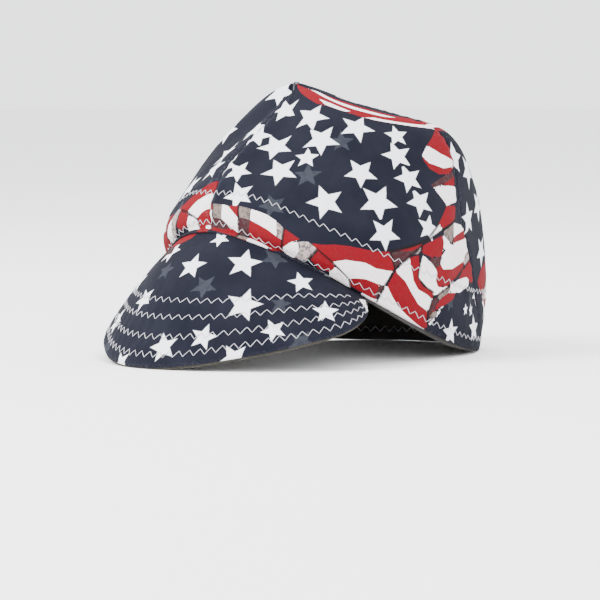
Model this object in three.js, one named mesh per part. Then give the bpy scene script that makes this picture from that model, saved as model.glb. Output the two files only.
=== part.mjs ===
import * as THREE from 'three';

// A worker's cloth cap: three crown panels, a soft peak and an inner band.
// Millimetres, +Z up, the peak towards -Y, the wearer's left at +X.
// The cap lies on its rim as it does on a table: the back of the rim is flat on
// the surface, and the front rises to the peak, whose tip touches the surface too.

// Head opening
const rimLength = 188;
const rimWidth = 160;
const rimRise = 73;
const rimSwell = 7.5;
const rimSweep = 1.85;
const restAngle = 150;

// Crown
const crownHeight = 154;
const apexForward = 28.5;
const panelCount = 3;
const clothThickness = 1.5;
const pinhole = 1.5;
const tipUprightness = 12;

// Inner band
const bandHeight = 30;
const bandThickness = 1.0;
const bandSetUp = 0.6;
const bandClearance = 0.6;

// Peak
const peakHalfAngle = 65;
const peakReach = 103;
const peakWidth = 184;
const peakArch = 7;
const peakThickness = 1.4;
const undersideThickness = 1.2;
const undersideSetBack = 0.5;

// Space kept between pieces that touch on the real cap
const seamGap = 0.3;

// Crown sections round the head, one row every 30 degrees from the front to the back.
// flare and reach are shares of half the rim's width, rise and drop of the crown's height:
// a section leaves the rim towards (flare, rise) and comes to the top from (reach, drop).
const crownSections = [
  { angle: 0, flare: 0.11, rise: 0.23, reach: 0.325, drop: 0.195 },
  { angle: 30, flare: 0.29, rise: 0.09, reach: 0.33, drop: 0.20 },
  { angle: 60, flare: 0.30, rise: 0.18, reach: 0.50, drop: 0.09 },
  { angle: 90, flare: 0.33, rise: 0.48, reach: 0.62, drop: 0.06 },
  { angle: 120, flare: -0.03, rise: 1.06, reach: 1.25, drop: 0.26 },
  { angle: 150, flare: 0.20, rise: 0.72, reach: 1.05, drop: 0.18 },
  { angle: 180, flare: 0.25, rise: 0.60, reach: 0.925, drop: 0.10 },
];

// Path of the two rear seams, in even steps from the rim to the top: degrees that a seam
// stands behind its even share of the circle. They draw together at the nape.
const rearSeamTurns = [13, -6, -5, -2, 0, 0];

// Front edge of the peak from its middle to its corner. forward is a share of the peak's
// reach, side of half its width, lift of the rim's height where the peak ends.
const peakEdge = [
  { forward: 1, side: 0, lift: 0.025 },
  { forward: 0.93, side: 0.325, lift: 0.08 },
  { forward: 0.77, side: 0.60, lift: 0.21 },
  { forward: 0.56, side: 0.835, lift: 0.38 },
  { forward: 0.32, side: 0.985, lift: 0.58 },
  { forward: 0.12, side: 0.935, lift: 0.77 },
  { forward: 0.02, side: 0.825, lift: 0.95 },
];

// Facets
const facetsPerPanel = 22;
const facetsUpCrown = 20;
const facetsUpBand = 6;
const facetsAcrossPeak = 40;
const facetsDownPeak = 8;
const rowSpread = 1.3;

const radians = THREE.MathUtils.degToRad;
const vertical = new THREE.Vector3(0, 0, 1);

// Height of the rim above the surface, for an angle round the head from the front
function rimHeight(angle) {
  const rest = Math.cos(radians(restAngle));
  const share = Math.max(0, (Math.cos(angle) - rest) / (1 - rest));
  return rimRise * share ** rimSweep;
}

function rimPoint(angle) {
  const across = rimWidth / 2 * Math.sin(angle);
  const along = rimLength / 2 * Math.cos(angle) + rimSwell * Math.sin(angle) ** 2;
  return new THREE.Vector3(across, -along, rimHeight(angle));
}

// Smooth value at a place between evenly spaced values, mirrored past both ends
function smoothValue(values, place) {
  const last = values.length - 1;
  const row = Math.min(Math.floor(place), last - 1);
  const t = place - row;
  const value = (k) => values[last - Math.abs(last - Math.abs(k))];
  const [a, b, c, d] = [row - 1, row, row + 1, row + 2].map(value);
  const slope = (c - a) * t;
  const bend = (2 * a - 5 * b + 4 * c - d) * t ** 2;
  const twist = (-a + 3 * b - 3 * c + d) * t ** 3;
  return (2 * b + slope + bend + twist) / 2;
}

// Value of one column of crownSections at any angle, alike on both sides
function sectionValue(column, angle) {
  const turn = Math.abs(Math.atan2(Math.sin(angle), Math.cos(angle)));
  const values = crownSections.map((row) => row[column]);
  return smoothValue(values, turn / Math.PI * (values.length - 1));
}

// Angle of a seam, numbered from the front round by the left side
function seamAngle(number, up) {
  const even = number * 2 * Math.PI / panelCount;
  const place = THREE.MathUtils.clamp(up, 0, 1) * (rearSeamTurns.length - 1);
  const side = Math.sign(Math.round(Math.sin(even) * 1000));
  return even + side * radians(smoothValue(rearSeamTurns, place));
}

// Outer face of the crown: up = 0 on the rim, 1 at the top
function crownPoint(angle, up) {
  const outward = new THREE.Vector3(Math.sin(angle), -Math.cos(angle), 0);
  const rim = rimPoint(angle);
  const top = new THREE.Vector3(0, -apexForward, crownHeight);
  const leave = rim.clone().addScaledVector(outward, sectionValue('flare', angle) * rimWidth / 2);
  leave.z += sectionValue('rise', angle) * crownHeight;
  const arrive = top.clone().addScaledVector(outward, sectionValue('reach', angle) * rimWidth / 2);
  arrive.z -= sectionValue('drop', angle) * crownHeight;
  return new THREE.CubicBezierCurve3(rim, leave, arrive, top).getPoint(up);
}

// Direction that points out of a surface given as place(u, v)
function surfaceNormal(place, u, v) {
  const step = 0.001;
  const alongU = place(u + step, v).sub(place(u - step, v));
  const alongV = place(u, v + step).sub(place(u, v - step));
  return alongU.cross(alongV).normalize();
}

// Length along the crown for each radian turned round the head
function turnLength(angle, up) {
  const step = 0.001;
  return crownPoint(angle + step, up).distanceTo(crownPoint(angle - step, up)) / (2 * step);
}

// Share of the way up the crown at which a length has been used, from one end
function shareAtLength(angle, length, fromTop) {
  const steps = 400;
  let used = 0;
  let last = crownPoint(angle, fromTop ? 1 : 0);
  for (let i = 1; i <= steps; i += 1) {
    const next = crownPoint(angle, fromTop ? 1 - i / steps : i / steps);
    const piece = next.distanceTo(last);
    if (used + piece >= length) {
      const share = (i - 1 + (length - used) / piece) / steps;
      return fromTop ? 1 - share : share;
    }
    used += piece;
    last = next;
  }
  return fromTop ? 0 : 1;
}

// Closed sheet between two grids of points, front[i][j] outside and back[i][j] inside.
// A ring joins its last column to its first.
function sheet(front, back, ring) {
  const columns = front.length;
  const rows = front[0].length;
  const corners = [...front.flat(), ...back.flat()];
  const at = (side, i, j) => side * columns * rows + (i % columns) * rows + j;
  const faces = [];
  const quad = (a, b, c, d) => faces.push(a, b, c, a, c, d);
  const spans = ring ? columns : columns - 1;
  for (let i = 0; i < spans; i += 1) {
    for (let j = 0; j < rows - 1; j += 1) {
      quad(at(0, i, j), at(0, i + 1, j), at(0, i + 1, j + 1), at(0, i, j + 1));
      quad(at(1, i, j), at(1, i, j + 1), at(1, i + 1, j + 1), at(1, i + 1, j));
    }
    quad(at(0, i, 0), at(1, i, 0), at(1, i + 1, 0), at(0, i + 1, 0));
    quad(at(0, i, rows - 1), at(0, i + 1, rows - 1), at(1, i + 1, rows - 1), at(1, i, rows - 1));
  }
  if (!ring) {
    const end = columns - 1;
    for (let j = 0; j < rows - 1; j += 1) {
      quad(at(0, 0, j), at(0, 0, j + 1), at(1, 0, j + 1), at(1, 0, j));
      quad(at(0, end, j), at(1, end, j), at(1, end, j + 1), at(0, end, j + 1));
    }
  }
  const geometry = new THREE.BufferGeometry();
  const numbers = corners.flatMap((corner) => corner.toArray());
  geometry.setAttribute('position', new THREE.Float32BufferAttribute(numbers, 3));
  geometry.setIndex(faces);
  geometry.computeVertexNormals();
  return geometry;
}

function namedMesh(name, geometry, color, roughness) {
  const material = new THREE.MeshStandardMaterial({ color, roughness, metalness: 0 });
  const mesh = new THREE.Mesh(geometry, material);
  mesh.name = name;
  return mesh;
}

// Crown panel between two seams. Each side edge stands half a gap off its seam,
// and the tip stops short of the top, where the panels meet. There its thickness turns
// from across the cloth to upright, so that the inner corners of the tips stay apart.
function crownPanel(name, number) {
  const front = [];
  const back = [];
  for (let i = 0; i <= facetsPerPanel; i += 1) {
    const share = i / facetsPerPanel;
    const topAngle = THREE.MathUtils.lerp(seamAngle(number, 1), seamAngle(number + 1, 1), share);
    const tip = shareAtLength(topAngle, pinhole, true);
    const outside = [];
    const inside = [];
    for (let j = 0; j <= facetsUpCrown; j += 1) {
      const up = tip * (j / facetsUpCrown) ** rowSpread;
      const from = seamAngle(number, up);
      const to = seamAngle(number + 1, up);
      const start = from + seamGap / 2 / turnLength(from, up);
      const end = to - seamGap / 2 / turnLength(to, up);
      const angle = THREE.MathUtils.lerp(start, end, share);
      const point = crownPoint(angle, up);
      const normal = surfaceNormal(crownPoint, angle, up).lerp(vertical, up ** tipUprightness);
      const inner = point.clone().addScaledVector(normal, -clothThickness);
      if (j === 0) {
        inner.z = point.z;
      }
      outside.push(point);
      inside.push(inner);
    }
    front.push(outside);
    back.push(inside);
  }
  return namedMesh(name, sheet(front, back, false), 0x3a3f4e, 0.9);
}

// Band round the inside of the opening, against the crown panels
function innerBand() {
  const front = [];
  const back = [];
  const columns = facetsPerPanel * panelCount;
  for (let i = 0; i < columns; i += 1) {
    const angle = 2 * Math.PI * i / columns;
    const low = shareAtLength(angle, bandSetUp, false);
    const high = shareAtLength(angle, bandHeight, false);
    const outside = [];
    const inside = [];
    for (let j = 0; j <= facetsUpBand; j += 1) {
      const up = low + (high - low) * j / facetsUpBand;
      const normal = surfaceNormal(crownPoint, angle, up);
      const depth = clothThickness + bandClearance;
      outside.push(crownPoint(angle, up).addScaledVector(normal, -depth));
      inside.push(crownPoint(angle, up).addScaledVector(normal, -depth - bandThickness));
    }
    front.push(outside);
    back.push(inside);
  }
  return namedMesh('inner_band', sheet(front, back, true), 0x2c2a27, 0.95);
}

// Front edge of the peak, from the right corner round to the left one
function peakEdgeCurve() {
  const corner = rimPoint(radians(peakHalfAngle));
  const points = [];
  for (const side of [-1, 1]) {
    const half = peakEdge.map((row) => new THREE.Vector3(
      side * row.side * peakWidth / 2,
      corner.y - row.forward * peakReach,
      row.lift * corner.z,
    ));
    points.push(...(side < 0 ? half.reverse().slice(0, -1) : half));
  }
  return new THREE.CatmullRomCurve3(points, false, 'centripetal');
}

const edgeCurve = peakEdgeCurve();

// Upper face of the peak: across = -1 to 1 from corner to corner, out = 0 at the rim, 1 at the edge
function peakPoint(across, out) {
  const root = rimPoint(radians(peakHalfAngle) * across);
  root.z -= seamGap;
  const edge = edgeCurve.getPointAt(THREE.MathUtils.clamp((across + 1) / 2, 0, 1));
  const point = root.lerp(edge, out);
  point.z += peakArch * 4 * out * (1 - out) * (1 - across ** 2);
  return point;
}

// Sheet of the peak that starts at a depth below its upper face
function peakSheet(name, depth, thickness, setBack, color) {
  const front = [];
  const back = [];
  for (let i = 0; i <= facetsAcrossPeak; i += 1) {
    const across = 1 - 2 * i / facetsAcrossPeak;
    const inset = across * (1 - 2 * setBack / peakWidth);
    const outside = [];
    const inside = [];
    for (let j = 0; j <= facetsDownPeak; j += 1) {
      const length = peakPoint(inset, 0).distanceTo(peakPoint(inset, 1));
      const out = j / facetsDownPeak * (1 - setBack / length);
      const safeAcross = THREE.MathUtils.clamp(inset, -0.998, 0.998);
      const normal = surfaceNormal(peakPoint, safeAcross, out).negate();
      outside.push(peakPoint(inset, out).addScaledVector(normal, -depth));
      inside.push(peakPoint(inset, out).addScaledVector(normal, -depth - thickness));
    }
    front.push(outside);
    back.push(inside);
  }
  return namedMesh(name, sheet(front, back, false), color, 0.9);
}

const cap = new THREE.Group();
const panelNames = ['crown_panel_left', 'crown_panel_back', 'crown_panel_right'];
panelNames.forEach((name, number) => cap.add(crownPanel(name, number)));
cap.add(innerBand());
cap.add(peakSheet('peak_top', 0, peakThickness, 0, 0x3f4357));
cap.add(peakSheet('peak_underside', peakThickness + seamGap, undersideThickness, undersideSetBack, 0x56524a));

// The origin is under the middle of the cap, on the surface that it rests on
const box = new THREE.Box3().setFromObject(cap);
cap.position.set(0, -(box.min.y + box.max.y) / 2, -box.min.z);

export default cap;
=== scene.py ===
import bisect
import math
import random

import bmesh
import bpy
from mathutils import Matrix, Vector, noise


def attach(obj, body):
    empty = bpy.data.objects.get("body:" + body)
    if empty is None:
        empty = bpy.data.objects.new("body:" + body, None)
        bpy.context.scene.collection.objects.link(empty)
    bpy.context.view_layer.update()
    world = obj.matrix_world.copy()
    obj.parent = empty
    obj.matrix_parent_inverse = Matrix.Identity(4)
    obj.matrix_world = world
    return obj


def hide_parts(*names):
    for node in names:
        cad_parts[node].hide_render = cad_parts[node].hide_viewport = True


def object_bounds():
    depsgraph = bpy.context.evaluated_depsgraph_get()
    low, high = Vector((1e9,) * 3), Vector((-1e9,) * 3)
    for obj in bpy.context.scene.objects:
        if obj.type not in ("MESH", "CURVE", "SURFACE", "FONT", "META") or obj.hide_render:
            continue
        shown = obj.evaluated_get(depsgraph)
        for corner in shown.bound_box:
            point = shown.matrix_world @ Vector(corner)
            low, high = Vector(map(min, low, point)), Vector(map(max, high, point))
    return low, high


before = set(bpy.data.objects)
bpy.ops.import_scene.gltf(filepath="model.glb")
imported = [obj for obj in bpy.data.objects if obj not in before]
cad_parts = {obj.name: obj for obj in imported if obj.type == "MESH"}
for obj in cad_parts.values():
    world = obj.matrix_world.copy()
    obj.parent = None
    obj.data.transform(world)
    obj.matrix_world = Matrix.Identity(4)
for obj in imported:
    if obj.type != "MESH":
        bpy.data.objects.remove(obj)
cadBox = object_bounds()
print("frame loaded")

mm = 0.001
tau = 2 * math.pi

# The cap's form, as the frame has it, in metres, degrees and shares
form = {
    "rimLength": 0.188,
    "rimWidth": 0.160,
    "rimRise": 0.073,
    "rimSwell": 0.0075,
    "rimSweep": 1.85,
    "restAngle": 150,
    "crownHeight": 0.154,
    "apexForward": 0.0285,
    "panelCount": 3,
    "peakHalfAngle": 65,
    "peakReach": 0.103,
    "peakWidth": 0.184,
    "peakArch": 0.007,
    "rootDrop": 0.0003,
}

# Crown sections every 30 degrees from the front to the back. flare and reach are shares
# of half the rim's width, rise and drop of the crown's height.
crownSections = {
    "flare": [0.11, 0.29, 0.30, 0.33, -0.03, 0.20, 0.25],
    "rise": [0.23, 0.09, 0.18, 0.48, 1.06, 0.72, 0.60],
    "reach": [0.325, 0.33, 0.50, 0.62, 1.25, 1.05, 0.925],
    "drop": [0.195, 0.20, 0.09, 0.06, 0.26, 0.18, 0.10],
}
rearSeamTurns = [13, -6, -5, -2, 0, 0]  # degrees behind an even share, from rim to top

# Edge of the peak from its middle to its corner: share of the reach, of half the width,
# and of the rim's height at the corner
peakEdge = [
    (1, 0, 0.025),
    (0.93, 0.325, 0.08),
    (0.77, 0.60, 0.21),
    (0.56, 0.835, 0.38),
    (0.32, 0.985, 0.58),
    (0.12, 0.935, 0.77),
    (0.02, 0.825, 0.95),
]


def lerp(a, b, t):
    return a + (b - a) * t


def clamp(value):
    return max(0, min(1, value))


def eased(value):
    # smooth rise from 0 to 1
    value = clamp(value)
    return value * value * (3 - 2 * value)


def bell(distance, reach):
    return math.exp(-(distance / reach) ** 2)


def runLengths(points):
    # length along a line of points up to each of them
    lengths = [0]
    for last, point in zip(points, points[1:]):
        lengths.append(lengths[-1] + (point - last).length)
    return lengths


def smoothValue(values, place):
    # value between evenly spaced values, mirrored past both ends
    last = len(values) - 1
    row = min(math.floor(place), last - 1)
    t = place - row
    a, b, c, d = (values[last - abs(last - abs(k))] for k in range(row - 1, row + 3))
    bend = (2 * a - 5 * b + 4 * c - d) * t ** 2
    twist = (-a + 3 * b - 3 * c + d) * t ** 3
    return (2 * b + (c - a) * t + bend + twist) / 2


def wrapped(angle):
    return (angle + math.pi) % tau - math.pi


def rimHeight(angle):
    rest = math.cos(math.radians(form["restAngle"]))
    share = max(0, (math.cos(angle) - rest) / (1 - rest))
    return form["rimRise"] * share ** form["rimSweep"]


def rimPlace(angle):
    along = form["rimLength"] / 2 * math.cos(angle) + form["rimSwell"] * math.sin(angle) ** 2
    return Vector((form["rimWidth"] / 2 * math.sin(angle), -along, rimHeight(angle)))


cornerPlace = rimPlace(math.radians(form["peakHalfAngle"]))
backShift = Vector((0, cadBox[0][1] - cornerPlace.y + form["peakReach"], 0))


def rimPoint(angle):
    return rimPlace(angle) + backShift


def seamAngle(number, up):
    # seams are numbered from the front round by the left side
    even = number * tau / form["panelCount"]
    place = clamp(up) * (len(rearSeamTurns) - 1)
    side = round(math.sin(even))
    return even + side * math.radians(smoothValue(rearSeamTurns, place))


def sectionPlace(angle):
    # place in a table that holds a value every 30 degrees from the front to the back
    return abs(wrapped(angle)) / math.pi * 6


def crownPoint(angle, up):
    # outer face of the crown: up is 0 on the rim and 1 at the top
    outward = Vector((math.sin(angle), -math.cos(angle), 0))
    place = sectionPlace(angle)
    flare, rise, reach, drop = (smoothValue(column, place) for column in crownSections.values())
    half = form["rimWidth"] / 2
    rim = rimPoint(angle)
    top = Vector((0, -form["apexForward"], form["crownHeight"])) + backShift
    leave = rim + outward * flare * half + Vector((0, 0, rise * form["crownHeight"]))
    arrive = top + outward * reach * half - Vector((0, 0, drop * form["crownHeight"]))
    down = 1 - up
    return rim * down ** 3 + leave * 3 * up * down ** 2 + arrive * 3 * up ** 2 * down + top * up ** 3


def surfaceNormal(place, u, v):
    step = 0.001
    alongU = place(u + step, v) - place(u - step, v)
    alongV = place(u, v + step) - place(u, v - step)
    return alongU.cross(alongV).normalized()


def turnLength(angle, up):
    # length along the crown for each radian turned round the head
    step = 0.001
    return (crownPoint(angle + step, up) - crownPoint(angle - step, up)).length / (2 * step)


def chartScale(angle, up):
    # millimetres for each degree turned round the head
    return turnLength(angle, up) * math.radians(1) / mm


# Lengths up the crown from the rim, kept for every second degree round the head
chart = {"degrees": 2, "steps": 90, "lengths": {}}


def meridian(number):
    number %= round(360 / chart["degrees"])
    if number not in chart["lengths"]:
        angle = math.radians(number * chart["degrees"])
        steps = range(chart["steps"] + 1)
        chart["lengths"][number] = runLengths([crownPoint(angle, k / chart["steps"]) for k in steps])
    return chart["lengths"][number]


def neighbours(angle):
    place = math.degrees(angle) / chart["degrees"]
    low = math.floor(place)
    return meridian(low), meridian(low + 1), place - low


def risen(angle, up):
    # length up the crown from the rim
    low, high, t = neighbours(angle)
    place = clamp(up) * chart["steps"]
    k = min(int(place), chart["steps"] - 1)
    return lerp(lerp(low[k], high[k], t), lerp(low[k + 1], high[k + 1], t), place - k)


def upAt(angle, length):
    low, high, t = neighbours(angle)
    lengths = [lerp(a, b, t) for a, b in zip(low, high)]
    k = max(1, min(chart["steps"], bisect.bisect(lengths, length)))
    return (k - 1 + (length - lengths[k - 1]) / (lengths[k] - lengths[k - 1])) / chart["steps"]


def seamDistance(angle, up):
    turns = (wrapped(angle - seamAngle(number, up)) for number in range(form["panelCount"]))
    return min(abs(turn) for turn in turns) * turnLength(angle, up)


# Cloth of the crown: soft folds, seams that pull in, and stitched rows. Sizes in metres,
# rows as millimetres up from the rim every 30 degrees from the front to the back.
crownCloth = {
    "wall": 0.0010,
    "rippleHeight": 0.0009,
    "rippleLength": 0.030,
    "seamDip": 0.0009,
    "seamReach": 0.0019,
    "puckerHeight": 0.00028,
    "puckerLength": 0.0065,
    "puckerReach": 0.006,
    "rowDip": 0.00035,
    "rowReach": 0.0022,
    "rowNear": 0.012,
    "gatherHeight": 0.00016,
    "gatherLength": 0.0093,
    "gatherReach": 0.0045,
    "hemTuck": 0.0005,
    "hemReach": 0.0010,
    "lap": 0.0030,
    "lapRaised": 0.0012,
    "lapEnd": 56,  # degrees from the front
    "lapFade": 16,
    "lapFrom": 0.0016,
    "lapBlend": 0.0026,
    "lapThin": 0.001,
    "lapStretch": 0.020,
    "topShare": 0.9985,
    "wearAside": 0.002,
    "wearReach": 0.0012,
    "columns": 180,
    "rows": 140,
}
stitchRows = {
    "lower": [4.5, 2.5, 5.5, 6, 6.5, 6.5, 6.5],
    "upper": [21, 28.5, 30, 31.5, 33.5, 33.5, 33.5],
}

# Soft folds of the crown: where each starts and ends in degrees and mm, its height and
# half its width in mm
softFolds = [
    ((82, 45), (76, 88), 1.4, 6),
    ((60, 24), (46, 60), 0.8, 7),
    ((30, 34), (34, 80), 0.8, 8),
    ((99, 30), (104, 70), 1.2, 5),
    ((70, 108), (104, 128), 1.2, 7),
    ((112, 12), (124, 52), 1.0, 6),
    ((150, 20), (160, 80), 1.5, 9),
    ((190, 60), (176, 120), 1.5, 9),
    ((214, 16), (204, 70), 1.4, 8),
    ((262, 28), (274, 84), 1.4, 8),
    ((300, 40), (292, 96), 1.0, 8),
    ((330, 26), (322, 70), 0.9, 7),
]
foldFade = {"reaches": 3, "degrees": 30, "ends": (0.12, 0.88)}
drift = {"length": 0.02, "turn": 3}  # keeps ripples from lining up


def rowHeight(row, angle):
    return smoothValue(stitchRows[row], sectionPlace(angle)) * mm


def hemLap(angle):
    # how far the crown's hem laps over the peak's root
    turn = abs(math.degrees(wrapped(angle)))
    return crownCloth["lap"] * eased((crownCloth["lapEnd"] - turn) / crownCloth["lapFade"])


def driftAt(point):
    return noise.noise(point / drift["length"]) * drift["turn"]


def foldRise(angle, up, length):
    # height of the soft folds in metres
    degrees = math.degrees(angle) % 360
    height = length / mm
    wide = foldFade["degrees"]
    scale = None
    total = 0
    for (a0, h0), (a1, h1), rise, halfWidth in softFolds:
        reach = foldFade["reaches"] * halfWidth
        if not min(a0, a1) - wide < degrees < max(a0, a1) + wide:
            continue
        if not h0 - reach < height < h1 + reach:
            continue
        scale = scale or chartScale(angle, up)
        x0, y0, x1, y1 = (a0 - degrees) * scale, h0 - height, (a1 - degrees) * scale, h1 - height
        dx, dy = x1 - x0, y1 - y0
        share = clamp(-(x0 * dx + y0 * dy) / (dx ** 2 + dy ** 2))
        away = math.hypot(x0 + share * dx, y0 + share * dy)
        swell = math.sin(math.pi * lerp(*foldFade["ends"], share))
        total += rise * mm * bell(away, halfWidth) * swell
    return total


def crownRelief(angle, up, length):
    # how far the cloth stands out of the smooth crown
    look = crownCloth
    point = crownPoint(angle, up)
    seam = seamDistance(angle, up)
    height = look["rippleHeight"] * noise.noise(point / look["rippleLength"])
    height += foldRise(angle, up, length)
    height -= look["seamDip"] * bell(seam, look["seamReach"])
    wander = driftAt(point)
    ripple = math.sin(tau * length / look["puckerLength"] + wander)
    height += look["puckerHeight"] * ripple * bell(seam, look["puckerReach"])
    for row in stitchRows:
        away = length - rowHeight(row, angle)
        if abs(away) < look["rowNear"]:
            height -= look["rowDip"] * bell(away, look["rowReach"])
            wave = math.sin(angle * turnLength(angle, up) * tau / look["gatherLength"] + wander)
            height += look["gatherHeight"] * wave * bell(away, look["gatherReach"])
    height -= look["hemTuck"] * bell(length + hemLap(angle), look["hemReach"])
    return height


def lapPoint(angle, length, raised):
    # the hem of the crown where it lies on the peak
    across = math.degrees(wrapped(angle)) / form["peakHalfAngle"]
    out = max(0, -length) / peakLength(across)
    return peakPoint(across, out) + peakNormal(across, out) * (crownCloth["lapRaised"] + raised)


def crownClothPoint(angle, length, raised=0):
    look = crownCloth
    up = min(upAt(angle, max(length, 0)), look["topShare"])
    normal = surfaceNormal(crownPoint, angle, up)
    point = crownPoint(angle, up) + normal * (crownRelief(angle, up, length) + raised)
    lap = hemLap(angle)
    if lap > 0 and length < look["lapFrom"]:
        share = clamp((look["lapFrom"] - length) / look["lapBlend"]) * min(1, lap / look["lapThin"])
        point = point.lerp(lapPoint(angle, length, raised), eased(share))
    return point


def newObject(name, mesh):
    piece = bpy.data.objects.new(name, mesh)
    bpy.context.scene.collection.objects.link(piece)
    return piece


def clothGrid(look):
    # flat grid whose corners run from 0 to 1 both ways, ready to be laid on a surface
    bm = bmesh.new()
    bmesh.ops.create_grid(bm, x_segments=look["columns"], y_segments=look["rows"], size=0.5)
    bmesh.ops.translate(bm, verts=bm.verts, vec=(0.5, 0.5, 0))
    return bm, bm.loops.layers.uv.new("cloth")


def finishPiece(name, bm, materials, wall=0, edgeMaterial=0):
    for face in bm.faces:
        face.smooth = True
    mesh = bpy.data.meshes.new(name)
    bm.to_mesh(mesh)
    bm.free()
    piece = newObject(name, mesh)
    for material in materials:
        mesh.materials.append(material)
    if wall:
        solid = piece.modifiers.new("wall", "SOLIDIFY")
        solid.thickness = wall
        solid.offset = -1
        solid.material_offset = len(materials) - 1
        solid.material_offset_rim = edgeMaterial
    return piece


# The print. Places are degrees round the head from the front, the wearer's left side positive,
# and millimetres up from the rim. A star also has its turn and its radius in millimetres.
leftStars = [
    (32, 52, 27, 10.5), (25, 67, 15, 10.5), (14, 23, 12, 9), (9, 37, 63, 8), (53, 46, 53, 10.5),
    (59, 92, 46, 10.5), (58, 109, 41, 10), (83, 118.5, 50, 10), (72, 79, 56, 9.5), (92, 103, 10, 9.2),
    (91, 87.5, 7, 9), (98, 119.5, 16, 7), (91, 73, 0, 9), (91, 58, 36, 8), (74, 62, 42, 11),
    (73, 43, 36, 9.5), (104, 5, 58, 8), (124, 12, 62, 8), (121, 22, 54, 4), (114, 21, 67, 3.5),
    (48, 72, 10, 7), (20, 93, 30, 9), (-2, 40, 30, 9), (5, 65, 50, 9), (128, 32, 20, 7),
]
leftShadows = [(30, 27, 29, 8), (47, 59, 2, 8), (120, 27, 53, 5), (70, 99, 20, 7), (102, 21, 60, 5)]

# Torn ribbon, drawn from the lowest piece to the topmost one: tone, then corners
frontRibbon = [
    ("red", [(-6.5, 15), (1.5, 14.5), (2, 11), (-6.5, 12)]),
    ("white", [(-6.5, 12), (2, 11), (1.5, 5), (-6.5, 5.5)]),
    ("red", [(-6.5, 5.5), (1.5, 5), (0.5, 0), (0.5, -3), (-6.5, -3)]),
    ("beige", [(1.5, 14.5), (7, 15), (7, 7), (2, 7)]),
    ("white", [(7, 15), (10, 15), (15.5, 10), (15, 1.5), (11.5, 3), (7, 7)]),
    ("red", [(10, 15), (15, 17), (15.5, 10)]),
    ("brown", [(2, 7), (7, 7), (11.5, 3), (7, 1), (1, 2)]),
    ("red", [(1, 2), (7, 1), (11.5, 3), (15, 1.5), (14, -3), (8, -2.5), (0.5, -1)]),
    ("beige", [(15, 17), (21, 18.5), (21, 12), (16, 11)]),
    ("white", [(21, 18.5), (28, 20), (32, 19), (32, 10), (29, 11.5), (25, 12), (21, 12)]),
    ("speck", [(32, 19), (35, 17), (34, 9.5), (32, 10)]),
    ("brown", [(16, 11), (21, 12), (20, 2.5), (15, -0.5)]),
    ("red", [(21, 12), (25, 12), (29, 11.5), (32, 10), (34, 9.5), (33, 2), (28.5, -2.5), (25, -1),
             (19.5, 0)]),
    ("beige", [(15, -0.5), (19.5, 0), (18.5, -3), (14, -3)]),
    ("white", [(19.5, 0), (25, -1), (28.5, -2.5), (23, -5), (18.5, -3)]),
    ("red", [(14, -3), (18.5, -3), (23, -5), (28.5, -2.5), (33, 2), (34, 0.5), (26, -6), (18, -6)]),
    ("red", [(35, 17), (41, 15), (37, 10.5), (34, 5.5), (33, 3.5), (34, 9.5)]),
    ("white", [(37, 10.5), (40, 13), (40, 8), (37, -1.5), (34, -1), (33, 2.5), (34, 5.5)]),
    ("speck", [(40, 13), (44, 16), (47, 14), (43, 5), (40, 1.5), (37, -1.5), (40, 8)]),
    ("red", [(44, 6), (47, 13.5), (52, 11), (53, 9), (51, 4), (47, 2)]),
    ("white", [(51, 4), (53, 9), (58, 6), (59, 2.5), (59, 0), (51, 0)]),
    ("red", [(45, 16), (49, 18), (54, 22), (59, 25), (67, 29), (70, 31), (74, 34), (75, 25),
             (74, 23), (68, 20), (64, 20), (57, 16), (52, 11), (47, 13.5)]),
    ("white", [(52, 11), (57, 16), (64, 20), (68, 20), (74, 23), (71, 12.5), (69, 12), (64, 11),
               (61, 9), (58, 6)]),
    ("red", [(58, 6), (61, 9), (64, 11), (69, 12), (69, 10), (68, 4.5), (69, 2), (67, 2), (63, 2),
             (59, 2.5)]),
    ("brown", [(69, 12), (71, 12.5), (69, 2.5), (68, 4.5), (69, 10)]),
    ("white", [(63, 2), (67, 2), (69, 2.5), (70, 1), (66, -1), (63, 0)]),
]
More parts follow.
